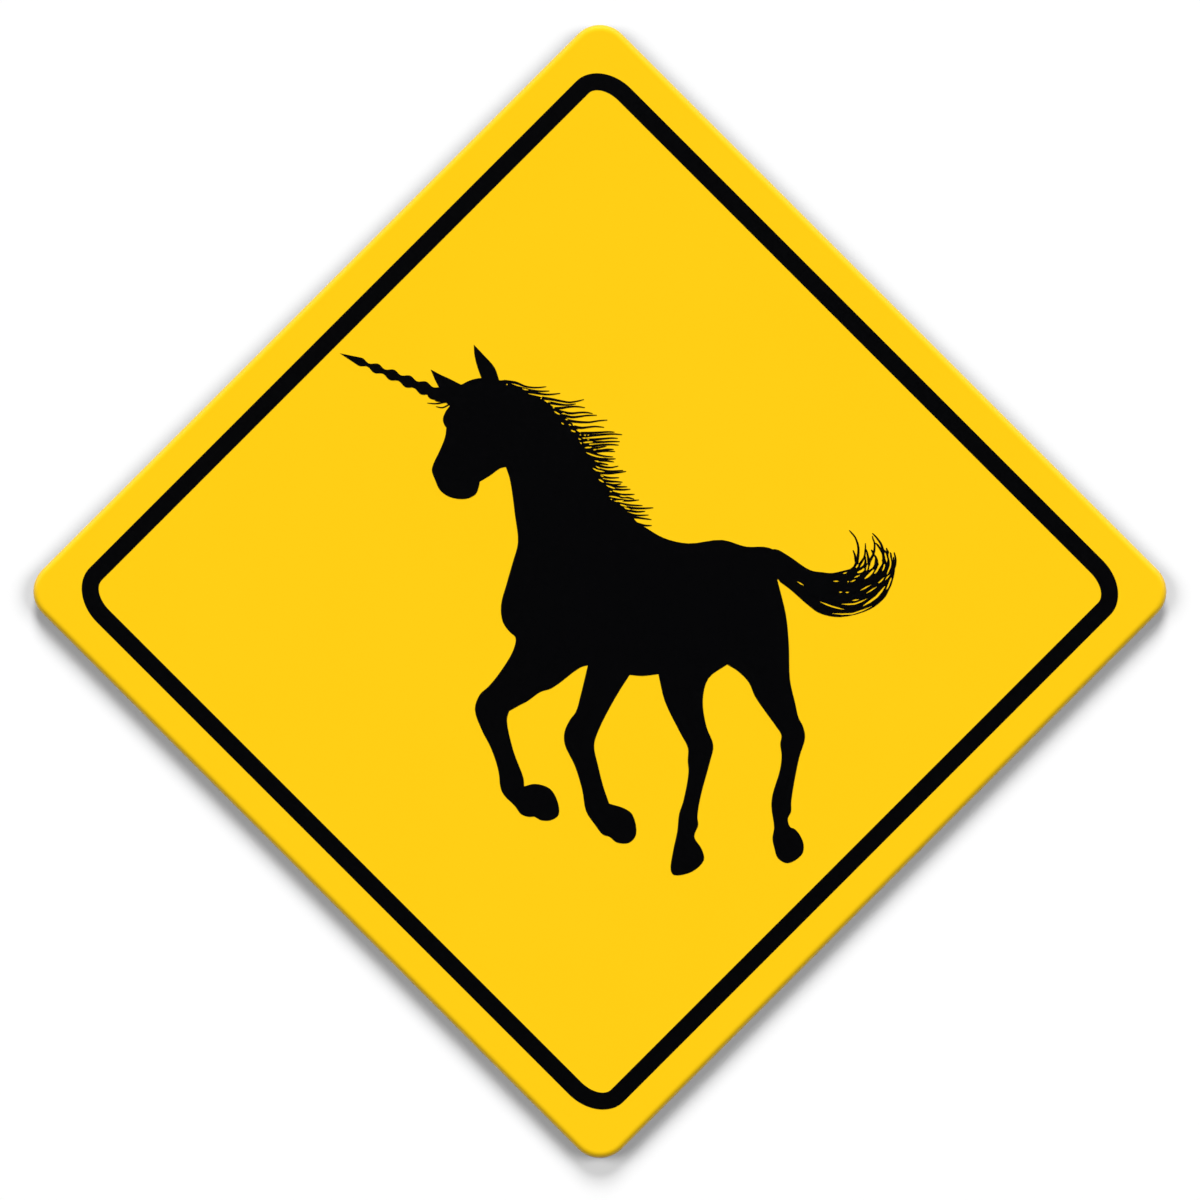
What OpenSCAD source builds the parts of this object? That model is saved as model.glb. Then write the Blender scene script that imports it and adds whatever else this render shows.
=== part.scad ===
// Diamond-shaped novelty crossing sign: one flat yellow panel with a rounded front edge,
// a black border line and the black silhouette of a trotting unicorn printed on its front.
// The panel stands on its corner, its front looks towards -Y, and the origin is at the
// middle of its back face.

/* [Panel] */
// Length of each side of the square panel
side = 304.8; // [280:0.1:460]
// Thickness of the panel
thickness = 3; // [3:0.1:6]
// Radius of the four corners, seen from the front
corner_radius = 11.5; // [5:0.5:20]
// Radius of the rounding all along the front edge
edge_round = 2.5; // [0.5:0.1:2.8]

/* [Border line] */
// Bare margin between the panel's edge and the border line
margin = 12.1; // [8:0.1:16]
// Width of the border line
line_width = 6.4; // [3:0.1:10]
// Reach of the line's corner bends along the sides that fall to the right
bend_falling = 16.3; // [11:0.1:30]
// Reach of the line's corner bends along the sides that rise to the right
bend_rising = 12.4; // [11:0.1:30]

/* [Unicorn] */
// Height of the figure from the tip of its ear to its lowest hoof
figure_height = 197.2; // [100:0.1:200]
// Thickness of the printed ink
ink = 0.1; // [0.1:0.05:0.5]
// How far the wet ink creeps past the drawn edge, which closes up hairline gaps
ink_spread = 0.05; // [0.02:0.01:0.1]

/* [Hidden] */

yellow = "#ffce15";
black = "#020203";

// The figure's points are in millimetres, for this height, and count from this place on the panel
drawn_height = 197.2;
drawn_from = [-0.2, 0.2];
// Straight pieces from one drawn point of a curve to the next
steps = 4;

// Head: brow, nose and muzzle, jaw
brow = [[-55.5, 68.7], [-57, 66.8], [-58.1, 63.8], [-57.5, 61.6], [-56.8, 60.7]];
nose = [
    [-56.8, 60.7], [-57.3, 57.2], [-59.2, 52.3], [-61.5, 47.5], [-62.2, 44.8], [-61, 41.3],
    [-59.2, 37.5], [-55.5, 34.9], [-49.7, 34.2], [-46, 36], [-44.8, 39], [-44.5, 40.6]
];
jaw = [[-44.5, 40.6], [-40.5, 43], [-37, 45.5], [-34.7, 46.1]];

// Throat, chest and the front of the near foreleg, round its hoof to the heel
near_fore_front = [
    [-34.7, 46.1], [-33.2, 41.5], [-31.3, 28.2], [-30.2, 18], [-32.1, 10.7], [-34.3, 3],
    [-36.5, -5.5], [-35.8, -11.6], [-33.3, -15.2], [-31.1, -17.4], [-32.1, -22.4], [-37.4, -31],
    [-41.2, -35.6], [-44.4, -38.6], [-46.2, -44], [-43.5, -52], [-40.6, -57.6], [-38.2, -64],
    [-37.2, -68.5], [-36.8, -72.5], [-35.6, -75.6], [-31.3, -80], [-29, -83], [-26, -84],
    [-24.2, -83.9], [-21.7, -85.2], [-18, -85.2], [-15.2, -83.2], [-15.7, -78], [-18.5, -73.5],
    [-23.9, -71.8], [-28, -72.7]
];
near_fore_back = [[-28, -72.7], [-28.3, -69.5], [-32, -59.5], [-34.4, -48], [-33.6, -44.7]];
near_forearm = [
    [-33.6, -44.7], [-29.5, -42.4], [-26.8, -41], [-22, -37.6], [-17.6, -36.1], [-7.2, -28.5],
    [-4.2, -27.6]
];

// Far foreleg: front and hoof, then back up to the belly
far_fore_front = [
    [-4.2, -27.6], [-6.8, -38.4], [-8.7, -45], [-10.9, -48], [-12.9, -52.5], [-12.8, -57],
    [-9, -65.1], [-6.3, -74], [-4.9, -81.8], [-1.5, -87], [1.4, -90.6], [3.8, -91.4],
    [6.5, -93.5], [11, -93.6], [13.6, -90.5], [12.3, -83.3], [9.5, -81], [3.6, -79.1]
];
far_fore_back = [
    [3.6, -79.1], [1.5, -73], [-0.5, -65.1], [-2, -57.5], [-0.5, -52.1], [5.8, -39.8], [11.2, -31.2]
];
belly = [[11.2, -31.2], [16, -31.6], [22, -30.9]];

// Inner hind leg, down its front and up its back to the groin
inner_hind = [
    [22, -30.9], [24.4, -41], [30, -52.5], [33, -58.5], [32.9, -63], [33.2, -67.4],
    [31.3, -78], [29.7, -83], [29, -89.5], [27.4, -97], [26.6, -103.8], [27.8, -105.6],
    [34.5, -104.3], [38.8, -100], [38, -96], [35.4, -92], [35.4, -90.3], [36.7, -87],
    [36.4, -84], [37.6, -76.3], [41.1, -63.3], [42.3, -57.5], [39.7, -50.3], [38.4, -40.5],
    [40.5, -32.5], [47.5, -27.3]
];

// Outer hind leg, down its front and up its back to the root of the tail
outer_hind = [
    [47.5, -27.3], [51.5, -29.8], [55.6, -34], [57.8, -39], [61.5, -44.5], [65.7, -50.3],
    [67.7, -53.6], [67.3, -57], [67.8, -61], [67.2, -66.5], [64.5, -75.5], [64, -80], [65, -88],
    [64.4, -92], [65.1, -95.5], [66.4, -99.3], [70, -101.2], [75.2, -98], [75.9, -94.5],
    [74.5, -90.8], [72.5, -88.5], [70.9, -87.8], [70, -84.7], [71.2, -82], [71.3, -78],
    [74.2, -62], [76.4, -54.5], [75.6, -50.3], [74, -47.2], [72.8, -42], [70.8, -33],
    [70.4, -20.1], [69.3, -9], [66.1, 4.1]
];

// Back line, crest of the neck under the hair, and the head's top line
back = [
    [66.1, 4.1], [72, 10], [63, 16], [54.5, 16.4], [45.6, 18.9], [33, 17.6], [24, 19.6], [16.2, 24.1]
];
crest = [
    [16.2, 24.1], [14, 25.5], [12.5, 27.1], [10.9, 28.4], [10, 30], [8, 32.1], [5.8, 35.4],
    [4.3, 38.6], [1.6, 41.2], [0, 44.2], [-1.3, 47.1], [-2.6, 50.1], [-3.4, 52.7], [-4.3, 55.7],
    [-5.9, 57.9], [-8.3, 60.3], [-10.9, 63], [-13.9, 65.7], [-16.8, 68.1], [-20.4, 70.7],
    [-21.7, 72], [-24.3, 72.7], [-26.3, 73.2], [-27.4, 74], [-29.8, 75.8], [-31.5, 76.5],
    [-32.6, 76.9]
];
poll = [
    [-32.6, 76.9], [-33.4, 77.7], [-34.6, 78.3], [-37.2, 78.2], [-43.8, 79.1], [-48.1, 78.2],
    [-51.4, 76.6], [-58, 74.5], [-63.8, 73], [-62.9, 71.5], [-60.7, 70.9], [-57.4, 70.2],
    [-55.5, 68.7]
];

// Ears
far_ear = [[-62.6, 82.2], [-59.2, 80.4], [-55.5, 78.7], [-51.4, 76.6]];
near_ear_back = [[-46.6, 91.4], [-43, 87.6], [-39, 83], [-37.2, 78]];
near_ear_front = [[-43.8, 79.1], [-45.5, 84], [-46.4, 88], [-46.6, 91.4]];

// Tail: top line out to where the locks part, and round underneath back to the root
tail_top = [
    [60, 14], [65.3, 15.5], [70.1, 13.1], [78.3, 7.7], [82.8, 6.9], [86.5, 6.6], [93.2, 8.1]
];
tail_parting = [
    [93.2, 8.1], [94.4, 9.1], [95, 10.3], [95.6, 10.9], [96.2, 10.5], [96.2, 9.3], [96.5, 8.5],
    [97.1, 8.8], [97.9, 9.4], [98.4, 10.1], [98.6, 10.9], [99.1, 10.6], [99.4, 10.2], [99.8, 10.5],
    [100, 11.2], [100.6, 11.2], [100.6, 10], [100.3, 8.8], [100.2, 7.7], [100.7, 8], [101.6, 8.7],
    [102.2, 9.9], [102.4, 11.3], [102.6, 12.3], [103.3, 12], [103.6, 10.9], [103.6, 9.7],
    [103.2, 8.5], [102.5, 7.2], [102, 6.4], [102.7, 6.5], [103.5, 7.4], [104.2, 8.7], [104.9, 9.7],
    [105.2, 10.7], [105, 11.4], [105.6, 11.9], [106.3, 11.7], [106.8, 10.6], [107.3, 10.9],
    [107.9, 10.7], [108.8, 10.3], [109.3, 10.2], [109.8, 10.3], [110.4, 10.9]
];
tail_underside = [
    [110.4, 10.9], [110.3, 9.6], [109.9, 8.4], [109.6, 6.2], [109.1, 4.2], [108.5, 2.2],
    [107.6, 0.3], [106.1, -2.4], [100.6, -6.8], [89.5, -9.7], [82, -8.3],
    [78, -5.6], [70.9, 0.6], [66.1, 4.1]
];

// Each lock of the tail from its root to its tip
tail_locks = [
    [[95.6, 9.2], [95.9, 11.4], [96.2, 13.5], [96.3, 15.2], [96.2, 16.5], [95.9, 17.8],
        [95.5, 19], [94.9, 20.2], [94, 21.3], [92.9, 22.5]],
    [[95.5, 10.7], [95.2, 12.2], [95, 13.2], [94.7, 14.1], [94.3, 15.1]],
    [[96, 8.5], [96.7, 9.7], [97.3, 10.6], [97.9, 11.5], [98.4, 12.4], [98.7, 13.5], [98.8, 14.8],
        [98.9, 16.1], [98.9, 17.7]],
    [[98.8, 9.6], [98.9, 10.7], [98.9, 11.8], [98.8, 12.9]],
    [[100.2, 10.7], [100, 12], [99.8, 12.9], [99.6, 13.9], [99.4, 14.7], [99, 15.7]],
    [[100.1, 9.6], [100.4, 10.9], [101, 12], [101.5, 12.9], [101.9, 13.9], [102.2, 15],
        [102.3, 16.3], [102.3, 17.5], [102.1, 18.4], [101.7, 19.4], [101.5, 20.4]],
    [[102, 14.1], [101.5, 14.7], [101.1, 15.3]],
    [[103.3, 9.6], [103, 11.4], [102.7, 12.6], [102.2, 13.3], [102, 14.1]],
    [[105.8, 12.6], [105.5, 14.6], [105.2, 15.9], [104.9, 16.9], [104.5, 17.8], [104, 18.5],
        [103.4, 19.3], [102.8, 20.1], [102.2, 20.7], [101.5, 21.4]],
    [[105.8, 11.1], [105.5, 13.7], [104.9, 14.9], [104.3, 15.8], [103.7, 16.7], [103.2, 17.3],
        [102.8, 17.6], [102.4, 17.7]],
    [[107.5, 10], [107.4, 12.2], [107.1, 13.3], [106.8, 14.1], [106.3, 14.6], [105.7, 15.2],
        [105.1, 16.1]],
    [[107.2, 13.5], [107.2, 14.5], [106.9, 15.2], [106.7, 16]],
    [[108.9, 9.4], [108.6, 10.9], [108.4, 12.2], [108.4, 13.1], [108.3, 13.8], [108.1, 14.3]],
    [[109.2, 9.6], [109.3, 11.1], [109.3, 12.6]],
    [[109.5, 9.2], [109.9, 10.3], [110.1, 11.3], [110, 12.4], [109.8, 13.4], [109.6, 14.3]]
];

// Yellow streaks that show between the tail's hairs, from end to end
tail_streaks = [
    [[82, -4], [86.5, -5.8], [91, -6.9]],
    [[86.5, -8.4], [94, -8.5], [101.4, -5.7]],
    [[90, -4.9], [95, -4.8], [99.5, -2.9]],
    [[93.9, -3.6], [96.5, -3.2]],
    [[86.9, 3.6], [89.1, 3.6]],
    [[89, -0.4], [90.3, -0.5]],
    [[91.4, -0.6], [92.8, -0.5]],
    [[73.5, 3.5], [76.1, 2]],
    [[90.5, 6.4], [92.1, 6.9]],
    [[94.7, 4.9], [96.9, 5.9]],
    [[93.2, 3.3], [95.4, 4.2]],
    [[96.9, 0.1], [101, 2.3]],
    [[99.1, -1], [103.2, 1.6]],
    [[103.6, 2.9], [104.6, 3.6], [105.8, 5]],
    [[106.7, 0.5], [107.3, 1.7], [107.8, 3], [108.2, 4.1], [108.6, 5]],
    [[106.2, 4], [108, 6.1]],
    [[95.3, 8.5], [95.8, 9.2], [96.2, 10]],
    [[105.2, 7.4], [105.6, 8.3], [105.9, 9.2], [105.9, 10.1]],
    [[106, 14.1], [106.4, 13.1], [106.7, 12.1], [106.9, 10.9]],
    [[106.9, 6], [107.3, 7.1], [107.8, 8.3], [108.2, 9.6], [108.2, 11.1], [107.9, 12.3],
        [107.7, 13.2], [107.6, 14.1]],
    [[99.7, 9.9], [99.5, 8.7], [99.2, 7.5]],
    [[92.1, 3.4], [92.8, 3.5]]
];
tail_gaps = [
    [[98, -5.6], [103, -2.2], [106.2, 1.8]],
    [[98.6, 4.5], [100.6, 6.2], [102.1, 8]],
    [[95.8, 6.8], [97.1, 7.2], [97.9, 7.7], [98.4, 8.5]]
];

// Each hair of the mane, from where it leaves the crest to its tip
mane_hairs = [
    [[-33.9, 77.7], [-31.3, 77.4], [-29.5, 76.8], [-27.6, 76], [-25, 75.6], [-22.4, 75.6],
        [-19.8, 75.9]],
    [[-28.7, 75.2], [-26.5, 74.7], [-23.5, 74.3], [-20.9, 74.2], [-18.6, 74.3]],
    [[-26.9, 74], [-24.3, 73.7], [-21.7, 73.2], [-19.4, 73], [-17.2, 73.1], [-14.6, 73.4]],
    [[-19.8, 71.5], [-17.6, 71.2], [-14.6, 70.6], [-11.3, 70.1], [-8.7, 70.4], [-5.8, 71.1]],
    [[-17.6, 69.8], [-14.6, 69.3], [-12, 69.1], [-8.8, 69.5]],
    [[-16.5, 67.8], [-13.9, 68], [-11.3, 68.4], [-8.3, 68.5], [-5.4, 68.1]],
    [[-14.6, 66.7], [-12.4, 66.2], [-10.1, 66], [-7.2, 66.3], [-4.6, 66.3], [-2.6, 65.9]],
    [[-12.7, 65.1], [-10.5, 64.6], [-7.5, 64.8], [-4.6, 65.2], [-1, 65.3]],
    [[-11.3, 63.3], [-9, 62.9], [-6.1, 62.7], [-3.5, 62.7], [-0.5, 63.2], [2.9, 63.5]],
    [[-9, 61], [-6.8, 60.6], [-4.6, 60.8], [-1.6, 61.1], [1.7, 60.8]],
    [[-6.4, 58.6], [-3.5, 58.7], [0.3, 58.9], [3.2, 59.1], [5.6, 59]],
    [[-5.3, 57.5], [-2.3, 57.8], [1.4, 58.1], [5.1, 58.3], [8.4, 58.1]],
    [[-4.2, 56.1], [-1.2, 56.3], [2.1, 56.6], [4.7, 56.8], [6.8, 56.7]],
    [[-3.5, 55.3], [0.3, 55.3], [4, 55.5], [7.5, 55.5]],
    [[-3.5, 53.7], [0.3, 54.2], [4, 54.4], [7.1, 54.2]], [[-3.1, 52.8], [-0.5, 53.2], [2.6, 53.8]],
    [[-2.7, 52], [0.3, 52.2], [2.9, 52.6], [5.3, 52.6]], [[-1.2, 51.7], [2.1, 52], [5.8, 51.8]],
    [[-2.7, 51.4], [-0.9, 50.7], [1.7, 50.1], [5.1, 49.8]],
    [[-1.6, 49.5], [1, 49.2], [3.6, 49], [6, 49.1]],
    [[-1.6, 49], [0.3, 48.5], [2.9, 48.3], [5.4, 47.9]], [[-0.9, 47.6], [1, 47.3], [3.3, 46.9]],
    [[-0.9, 46.8], [1, 46.2], [2.9, 45.9], [4.7, 45.9], [7, 46.4]],
    [[0.3, 45.1], [2.5, 44.6], [5.1, 44.5], [8.8, 44.8]],
    [[0.6, 43.9], [4, 43.7], [7, 44], [9.9, 44.4]],
    [[0.6, 42.7], [2.5, 42.2], [4.7, 42], [7.3, 42.1]],
    [[1.7, 41.1], [4, 40.7], [6.2, 40.6], [8.6, 40.4]],
    [[2.9, 39.7], [4.7, 39.4], [6.6, 39.5], [8.1, 39.8]], [[4.7, 39], [7, 38.7], [10.3, 38.7]],
    [[5.8, 37.9], [8.1, 37.6], [11.5, 37.8]], [[5.8, 36.3], [8.1, 35.8], [10.3, 35.8], [13, 35.9]],
    [[6.6, 35.2], [8.8, 34.8], [11, 34.6], [12.9, 34.1]], [[7.3, 33.9], [10.7, 33.5], [14.7, 33.8]],
    [[8.1, 32.4], [11.4, 31.9], [16, 31.7]], [[9.9, 31], [13.6, 30.7], [17, 30.7], [20, 30.9]],
    [[11, 29.9], [14, 29.4], [17, 29.6]], [[11, 28.7], [13.6, 28.1], [18.2, 28.2]],
    [[11.8, 27.5], [15.1, 27.1], [19.3, 26.5]], [[15.5, 24.6], [17, 24.3], [19.4, 24.3]]
];
mane_streaks = [
    [[-34.6, 76.8], [-34, 76.6]], [[-28.8, 75.2], [-26.3, 74.6]], [[-22, 71.6], [-21.3, 71.5]],
    [[-20.3, 70.6], [-18, 70.2]], [[-17.4, 68.2], [-16.6, 68]],
    [[-16.8, 66.8], [-15.7, 66.1], [-14.6, 65.6]], [[-14.1, 66], [-12.3, 65.8]],
    [[-14.2, 62.6], [-13.1, 61.8]], [[-12.7, 63.8], [-11.7, 63.6]], [[-11.5, 62], [-10.4, 61.5]],
    [[-9.9, 62], [-9.3, 61.3]], [[-10.6, 59.8], [-9.8, 59.4], [-8.8, 59.1]],
    [[-8.5, 60], [-7.7, 59.5], [-6.8, 59]], [[-7.4, 58.1], [-6.7, 57.9]],
    [[-5.7, 57.9], [-4.9, 57.8]], [[-7.9, 56.7], [-6.7, 56.2]], [[-6.4, 56.8], [-4.8, 56.8]],
    [[-4.4, 57.9], [-3.8, 57.9]], [[-4.5, 56.3], [-3.8, 56.2]],
    [[-6.1, 55.1], [-4.2, 55.3], [-2.2, 55.4]], [[-7.2, 55.3], [-6.5, 54.6]],
    [[-5.5, 53.2], [-4.2, 53.3], [-2.7, 53.4]], [[-2.3, 52.4], [-1, 52.6]],
    [[-5, 51.5], [-3.1, 50.7], [-0.9, 50], [1.7, 49.5]], [[-1.7, 48.4], [0.3, 47.9]],
    [[-2.5, 45.7], [-0.9, 44.8], [2, 44.3]], [[-1.4, 46.4], [0.3, 45.5]], [[0.3, 43], [1.7, 42.4]],
    [[-0.3, 41.5], [0.6, 41], [1.7, 40.3]], [[2.5, 39.3], [4.3, 38.6], [6, 38]],
    [[3.8, 37], [4.8, 36.9]], [[3.5, 35.2], [5.8, 34.9], [8.2, 34.3]], [[4.1, 34.1], [4.8, 34]],
    [[7.5, 35.5], [8.8, 35.2], [10.3, 35.1]], [[9.2, 34.3], [11.3, 34]],
    [[5.5, 33.4], [7.3, 33.4], [9.2, 33.6]], [[7.6, 32.2], [8.8, 31.8], [10.3, 31.4]],
    [[9.2, 31], [10.3, 30.6], [11.6, 30.3]]
];

// Smooth curve through a list of points, with more bend where the points lie closer together
function gap(a, b) = sqrt(norm(b - a));
function lean(a, b, c) =
    (b - a) / gap(a, b) - (c - a) / (gap(a, b) + gap(b, c)) + (c - b) / gap(b, c);
function blend(a, b, c, d, t) =
    let (from = lean(a, b, c) * gap(b, c), to = lean(b, c, d) * gap(b, c), u = 1 - t)
    u * u * (1 + 2 * t) * b + u * u * t * from + t * t * (3 - 2 * t) * c - t * t * u * to;
function curve(p, n = steps) =
    let (
        last = len(p) - 1,
        q = concat([2 * p[0] - p[1]], p, [2 * p[last] - p[last - 1]])
    )
    [for (i = [1:last], k = [0:n - 1]) blend(q[i - 1], q[i], q[i + 1], q[i + 2], k / n)];
// Closed outline made of curves that each begin where the one before ends, with a corner there
function outline(runs) = [for (p = runs) each curve(p)];

// A hair's points with its root set back, so that it starts well inside the neck
function rooted(p) =
    [p[0] + 1.5 * (p[0] - p[1]) / norm(p[0] - p[1]), for (i = [1:len(p) - 1]) p[i]];

// Strip along a curve: w gives its half width at each share of the way, from 0 to 1
module strip(p, w, n = 3) {
    c = concat(curve(p, n), [p[len(p) - 1]]);
    last = len(c) - 1;
    way = [for (i = [0:last]) c[min(i + 1, last)] - c[max(i - 1, 0)]];
    out = [for (i = [0:last]) w(i / last) * [-way[i][1], way[i][0]] / norm(way[i])];
    polygon(concat([for (i = [0:last]) c[i] + out[i]], [for (i = [last:-1:0]) c[i] - out[i]]));
}

module hair(p, root_w, tip_w) {
    function taper(s) = tip_w + (root_w - tip_w) * pow(1 - s, 2);
    strip(p, function (s) taper(s) / 2 * sqrt(1 - 0.85 * pow(s, 6)));
}

module streak(p, width) {
    strip(p, function (s) width / 2 * sqrt(1.15 - pow(2 * s - 1, 4)), 2);
}

module horn() {
    tip = [-96.2, 88.2];
    length = 42;
    slope = -22.5;
    point_length = 8;
    pitch = 6.35;
    bulge = 0.55;
    n = 50;
    function half_width(s) =
        s < point_length ? 0.196 * s
        : 0.71 + 0.0385 * s + bulge * cos(360 * (s - point_length) / pitch);
    translate(tip) rotate(slope)
        polygon(concat(
            [for (i = [0:n]) let (s = length * i / n) [s, half_width(s)]],
            [for (i = [n:-1:1]) let (s = length * i / n) [s, -half_width(s)]]
        ));
}

module ears() {
    polygon(concat(curve(far_ear), [[-51.4, 76.6], [-54, 72], [-59, 74.5], [-61.1, 78.6]]));
    polygon(concat(curve(near_ear_back), [[-37.2, 78], [-40, 74]], curve(near_ear_front)));
}

module forelock() {
    hair([[-53, 71], [-57, 70.3], [-60.5, 69.6], [-63.9, 69.8]], 0.9, 0.4);
    hair([[-53, 71], [-55.7, 69.4], [-58.3, 68.1], [-60.7, 68.5]], 0.7, 0.4);
}

module tail() {
    polygon(outline([tail_top, tail_parting, tail_underside]));
    for (p = tail_locks) hair(p, 1.1, 0.5);
}

module silhouette() {
    difference() {
        union() {
            polygon(outline([
                brow, nose, jaw, near_fore_front, near_fore_back, near_forearm, far_fore_front,
                far_fore_back, belly, inner_hind, outer_hind, back, crest, poll
            ]));
            horn();
            ears();
            forelock();
            for (p = mane_hairs) hair(rooted(p), 1.1, 0.5);
            tail();
        }
        for (p = concat(mane_streaks, tail_streaks)) streak(p, 0.6);
        for (p = tail_gaps) streak(p, 0.9);
    }
}

// Edge of the panel in section, out to its side face, with the front corner rounded
module edge_section(reach) {
    square([reach, thickness - edge_round]);
    square([reach - edge_round, thickness]);
    intersection() {
        translate([reach - edge_round, thickness - edge_round]) circle(r = edge_round, $fn = 64);
        square([reach, thickness]);
    }
}

// Square with its front edge rounded, built as a middle block, four rims and four corners
module plate() {
    straight = side - 2 * corner_radius;
    translate([-straight / 2, -straight / 2, 0]) cube([straight, straight, thickness]);
    for (turn = [0:90:270]) rotate(turn) translate([straight / 2, straight / 2, 0]) {
        rotate_extrude(angle = 90, $fn = 64) edge_section(corner_radius);
        rotate([90, 0, 0]) linear_extrude(straight) edge_section(corner_radius);
    }
}

// Square whose four corner bends reach further along one pair of sides than the other
module bent_square(half, reach_x, reach_y) {
    bend_steps = 24;
    polygon([
        for (q = [0:3], k = [0:bend_steps])
            let (
                a = 90 * (q + k / bend_steps),
                right = sign(cos(90 * q + 45)),
                up = sign(sin(90 * q + 45))
            )
            [
                right * (half - reach_x) + reach_x * cos(a),
                up * (half - reach_y) + reach_y * sin(a)
            ]
    ]);
}

// Turns a piece drawn flat, face up, onto its corner with its face towards -Y
module stand(corner_turn) {
    rotate([90, 0, 0]) rotate(corner_turn) children();
}

module panel() {
    color(yellow) stand(45) plate();
}

module border_line() {
    outer = side / 2 - margin;
    color(black) stand(45) translate([0, 0, thickness]) linear_extrude(ink) difference() {
        bent_square(outer, bend_rising, bend_falling);
        bent_square(outer - line_width, bend_rising - line_width, bend_falling - line_width);
    }
}

module unicorn_figure() {
    color(black) stand(0) translate([0, 0, thickness]) linear_extrude(ink)
        offset(delta = ink_spread) scale(figure_height / drawn_height) translate(drawn_from)
            silhouette();
}

panel();
border_line();
unicorn_figure();
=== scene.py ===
import math

import bpy
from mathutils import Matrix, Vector

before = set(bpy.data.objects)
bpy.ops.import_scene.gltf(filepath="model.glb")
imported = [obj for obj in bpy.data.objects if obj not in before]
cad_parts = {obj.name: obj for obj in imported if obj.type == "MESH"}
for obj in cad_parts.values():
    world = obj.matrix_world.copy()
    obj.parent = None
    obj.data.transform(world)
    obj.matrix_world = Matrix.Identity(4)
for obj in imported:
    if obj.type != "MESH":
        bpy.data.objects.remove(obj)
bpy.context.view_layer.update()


# Panel: one square plate of rigid PVC, coloured yellow right through, that hangs on its
# corner. It is sawn to size, its corners are cut round, and its front edge is routed round.
# Mounting tape behind it holds it, so front and back are bare.
THICKNESS = 0.003
# Sockets of a Mix node that mixes colours, by their numbers
MIX_FACTOR, COLOUR_A, COLOUR_B, MIXED_COLOUR = 0, 6, 7, 2


def linear(hex_colour):
    """Linear RGBA of an sRGB colour written as '#rrggbb'."""
    parts = [int(hex_colour[i:i + 2], 16) / 255 for i in (1, 3, 5)]
    return [c / 12.92 if c <= 0.04045 else ((c + 0.055) / 1.055) ** 2.4 for c in parts] + [1.0]


def add_node(tree, kind, settings=None, links=None):
    """Adds a node. Settings are its own properties or values of its sockets, by name or
    number; links say for each linked socket which output it takes its value from."""
    node = tree.nodes.new(kind)
    for name, value in (settings or {}).items():
        if isinstance(name, str) and hasattr(node, name):
            setattr(node, name, value)
        else:
            node.inputs[name].default_value = value
    for name, source in (links or {}).items():
        tree.links.new(source, node.inputs[name])
    return node


def start_material(name):
    """A new material with a Principled shader: the material, its tree and the shader."""
    material = bpy.data.materials.new(name)
    material.use_nodes = True
    tree = material.node_tree
    return material, tree, next(n for n in tree.nodes if n.type == "BSDF_PRINCIPLED")


def dress(cad_node, material):
    """Gives a CAD node that stays as it is a better material."""
    for material_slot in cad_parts[cad_node].material_slots:
        material_slot.material = material


# Rigid PVC sheet, calendered: a satin skin with a faint pebble about 1.6 mm across, which
# breaks the light a little, and a tone that drifts by a hair over some centimetres.
PEBBLE_WIDTH = 0.0016
PEBBLE_DEPTH = 0.00002
DRIFT_WIDTH = 0.06
calendered_pvc, tree, shader = start_material("calendered_pvc")
place = add_node(tree, "ShaderNodeTexCoord").outputs["Object"]
drift = add_node(tree, "ShaderNodeTexNoise", {"Scale": 1 / DRIFT_WIDTH, "Detail": 2.0},
                 {"Vector": place})
tone = add_node(tree, "ShaderNodeMix",
                {"data_type": "RGBA", COLOUR_A: linear("#FFCD14"), COLOUR_B: linear("#FFCF17")},
                {MIX_FACTOR: drift.outputs["Fac"]})
tree.links.new(tone.outputs[MIXED_COLOUR], shader.inputs["Base Color"])
pebble = add_node(tree, "ShaderNodeTexNoise", {"Scale": 1 / PEBBLE_WIDTH, "Detail": 1.0},
                  {"Vector": place})
sheen = add_node(tree, "ShaderNodeMapRange", {"To Min": 0.3, "To Max": 0.38},
                 {"Value": pebble.outputs["Fac"]})
tree.links.new(sheen.outputs["Result"], shader.inputs["Roughness"])
relief = add_node(tree, "ShaderNodeBump", {"Strength": 0.3, "Distance": PEBBLE_DEPTH},
                  {"Height": pebble.outputs["Fac"]})
tree.links.new(relief.outputs["Normal"], shader.inputs["Normal"])
shader.inputs["IOR"].default_value = 1.53
dress("panel", calendered_pvc)


# Border line and unicorn: one pass of black UV-cured ink, screen printed on the panel's front
# in a film about a tenth of a millimetre thick, once the edge has been routed.
# UV-cured ink: a dense satin black. The weave of the screen leaves marks 0.9 mm across in it,
# drawn about twice as coarse as real ones so that they show.
MESH_MARK_WIDTH = 0.0009
uv_cured_ink, tree, shader = start_material("uv_cured_ink")
shader.inputs["Base Color"].default_value = linear("#020203")
place = add_node(tree, "ShaderNodeTexCoord").outputs["Object"]
mesh_mark = add_node(tree, "ShaderNodeTexNoise", {"Scale": 1 / MESH_MARK_WIDTH, "Detail": 1.0},
                     {"Vector": place})
sheen = add_node(tree, "ShaderNodeMapRange", {"To Min": 0.26, "To Max": 0.36},
                 {"Value": mesh_mark.outputs["Fac"]})
tree.links.new(sheen.outputs["Result"], shader.inputs["Roughness"])
dress("border_line", uv_cured_ink)
dress("unicorn_figure", uv_cured_ink)


# Wall: a white studio wall that the sign hangs just clear of, so that its shadow falls softly
# round it. From behind it can be seen through, and it throws no shadow. It throws no light on
# other surfaces either, which keeps the gap behind the sign dark and its shadow deep.
WALL_GAP = 0.0041
STAGE_SIZE = 6


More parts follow.
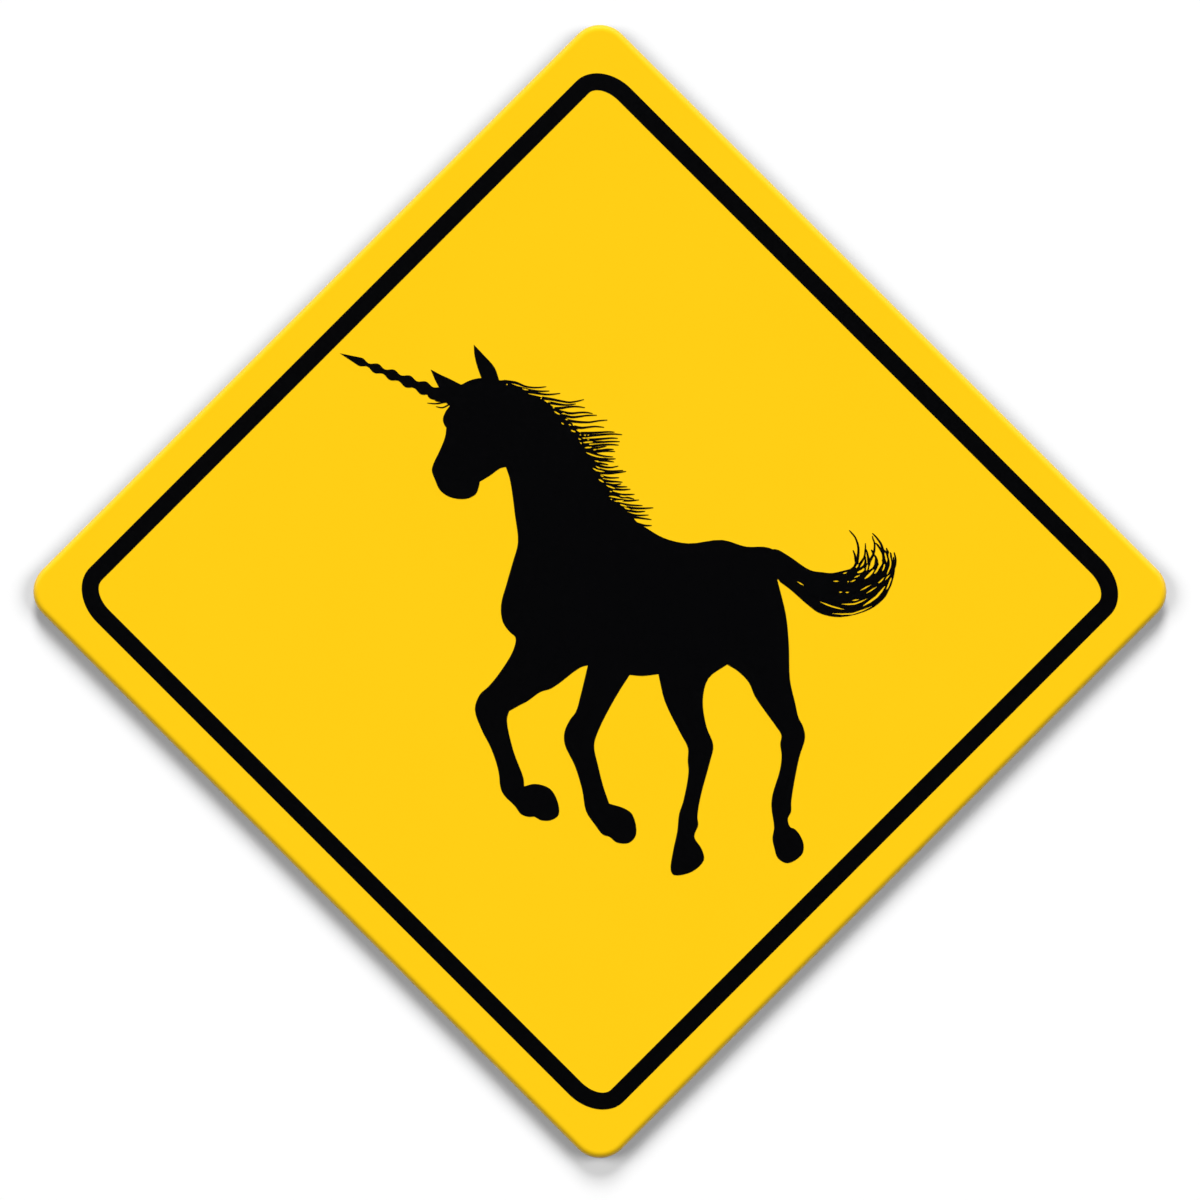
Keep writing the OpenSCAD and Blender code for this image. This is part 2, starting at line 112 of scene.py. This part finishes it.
def add_card(name, size, location, turn, faces_seen):
    """A flat stage piece, seen only by the kinds of ray named in faces_seen."""
    bpy.ops.object.select_all(action="DESELECT")
    bpy.ops.mesh.primitive_plane_add(size=size, location=location, rotation=turn)
    card = bpy.context.object
    card.name = name
    for kind in ("camera", "diffuse", "glossy", "transmission", "volume_scatter", "shadow"):
        setattr(card, "visible_" + kind, kind in faces_seen)
    return card


def start_matt_material(name):
    """A new material, with its tree and shader, that mirrors nothing."""
    material, tree, shader = start_material(name)
    shader.inputs["Roughness"].default_value = 1.0
    shader.inputs["Specular IOR Level"].default_value = 0.0
    return material, tree, shader


wall = add_card("wall", STAGE_SIZE, (0, WALL_GAP, 0), (math.pi / 2, 0, 0),
                ("camera", "diffuse", "glossy", "transmission"))
# Emulsion paint: dead matt and white to the camera, black to light from other surfaces.
wall_paint, tree, shader = start_matt_material("white_wall_paint")
rays = add_node(tree, "ShaderNodeLightPath")
paint = add_node(tree, "ShaderNodeMix",
                 {"data_type": "RGBA", COLOUR_A: linear("#FBFBFB"), COLOUR_B: linear("#000000")},
                 {MIX_FACTOR: rays.outputs["Is Diffuse Ray"]})
tree.links.new(paint.outputs[MIXED_COLOUR], shader.inputs["Base Color"])
back_side = add_node(tree, "ShaderNodeNewGeometry").outputs["Backfacing"]
clear = add_node(tree, "ShaderNodeBsdfTransparent")
seen = add_node(tree, "ShaderNodeMixShader",
                links={"Fac": back_side, 1: shader.outputs["BSDF"], 2: clear.outputs["BSDF"]})
output = next(n for n in tree.nodes if n.type == "OUTPUT_MATERIAL")
tree.links.new(seen.outputs["Shader"], output.inputs["Surface"])
wall.data.materials.append(wall_paint)


# Flag: a matt black card right behind the sign and a little larger, which keeps the yellow of
# its back and its edge off the wall. Only light that one surface throws to another meets it.
FLAG_SIZE = 0.33
FLAG_GAP = 0.0003
flag = add_card("flag", FLAG_SIZE, (0, FLAG_GAP, 0), (math.pi / 2, math.pi / 4, 0),
                ("diffuse",))
# Flocked card: short black fibres that swallow the light.
black_flock, tree, shader = start_matt_material("black_flock")
shader.inputs["Base Color"].default_value = linear("#020202")
flag.data.materials.append(black_flock)


# Floor: a plain pale studio floor, well below the picture. It lights nothing and is mirrored
# in nothing.
FLOOR_HEIGHT = -0.75
floor = add_card("floor", STAGE_SIZE, (0, 0, FLOOR_HEIGHT), (0, 0, 0), ("camera",))
# Floor paint: dead matt and just off white.
floor_paint, tree, shader = start_matt_material("pale_floor_paint")
shader.inputs["Base Color"].default_value = linear("#F2F2F2")
floor.data.materials.append(floor_paint)


# Lamps: a soft lamp high in front and a low one on each side, which together give the soft
# shadow that is wider below the sign than above it, and a lamp for the back. They are polarised
# against the camera, so that they leave no glare; what shines comes from the studio round it.
def add_sun(name, azimuth, elevation, strength, softness):
    """A sun that comes from azimuth (0 is the front, 90 the right) and elevation, and looks
    softness wide, all in degrees."""
    a, e = math.radians(azimuth), math.radians(elevation)
    towards = Vector((math.sin(a) * math.cos(e), -math.cos(a) * math.cos(e), math.sin(e)))
    lamp = bpy.data.lights.new(name, "SUN")
    lamp.energy = strength
    lamp.angle = math.radians(softness)
    carrier = bpy.data.objects.new(name, lamp)
    carrier.rotation_euler = towards.to_track_quat("Z", "Y").to_euler()
    carrier.visible_glossy = False
    lamp.cycles.use_multiple_importance_sampling = False
    bpy.context.scene.collection.objects.link(carrier)


add_sun("high_lamp", 0, 58.7, 2.46, 23)
add_sun("left_lamp", -45, 8.6, 1.44, 34)
add_sun("right_lamp", 45, 8.6, 1.44, 34)
add_sun("back_lamp", 180, 20, 3.5, 60)


# Studio: the white room round the wall. To the camera it is plain white. What the sign mirrors
# of it is up to three times as bright, at the sides and above, and fades to dark below and
# towards the camera. It lights nothing: that is left to the lamps.
SHINE = 3.0
world = bpy.context.scene.world or bpy.data.worlds.new("studio")
bpy.context.scene.world = world
world.use_nodes = True
tree = world.node_tree
background = next(n for n in tree.nodes if n.type == "BACKGROUND")
background.inputs["Color"].default_value = (1, 1, 1, 1)
direction = add_node(tree, "ShaderNodeTexCoord").outputs["Generated"]
parts = add_node(tree, "ShaderNodeSeparateXYZ", links={"Vector": direction})
aside = add_node(tree, "ShaderNodeMapRange",
                 {"From Min": -0.9, "From Max": 0.0, "To Min": 0.0, "To Max": SHINE},
                 {"Value": parts.outputs["Y"]})
above = add_node(tree, "ShaderNodeMapRange",
                 {"From Min": -0.3, "From Max": 0.4, "To Min": 0.0, "To Max": 1.0},
                 {"Value": parts.outputs["Z"]})
rays = add_node(tree, "ShaderNodeLightPath")
round_about = add_node(tree, "ShaderNodeMath", {"operation": "MULTIPLY"},
                       {0: aside.outputs["Result"], 1: above.outputs["Result"]})
shine = add_node(tree, "ShaderNodeMath", {"operation": "MULTIPLY"},
                 {0: round_about.outputs["Value"], 1: rays.outputs["Is Glossy Ray"]})
plain = add_node(tree, "ShaderNodeMath", {"operation": "MAXIMUM"},
                 {0: rays.outputs["Is Camera Ray"], 1: rays.outputs["Is Transmission Ray"]})
strength = add_node(tree, "ShaderNodeMath", {"operation": "MAXIMUM"},
                    {0: plain.outputs["Value"], 1: shine.outputs["Value"]})
tree.links.new(strength.outputs["Value"], background.inputs["Strength"])
world.cycles.sampling_method = "NONE"


# Camera: level and square to the sign, far off with a long lens. The frame is measured at the
# sign's front, and its centre lies a little below the sign's.
FRAME_WIDTH = 0.44604
FRAME_CENTRE = (0.00004, -0.0032)
LENS = 250
SENSOR_WIDTH = 36
camera_data = bpy.data.cameras.new("camera")
camera_data.lens = LENS
camera_data.sensor_width = SENSOR_WIDTH
camera = bpy.data.objects.new("camera", camera_data)
camera.location = (FRAME_CENTRE[0], -THICKNESS - FRAME_WIDTH * LENS / SENSOR_WIDTH,
                   FRAME_CENTRE[1])
camera.rotation_euler = (math.pi / 2, 0, 0)
bpy.context.scene.collection.objects.link(camera)
bpy.context.scene.camera = camera
bpy.context.scene.view_settings.view_transform = "Standard"
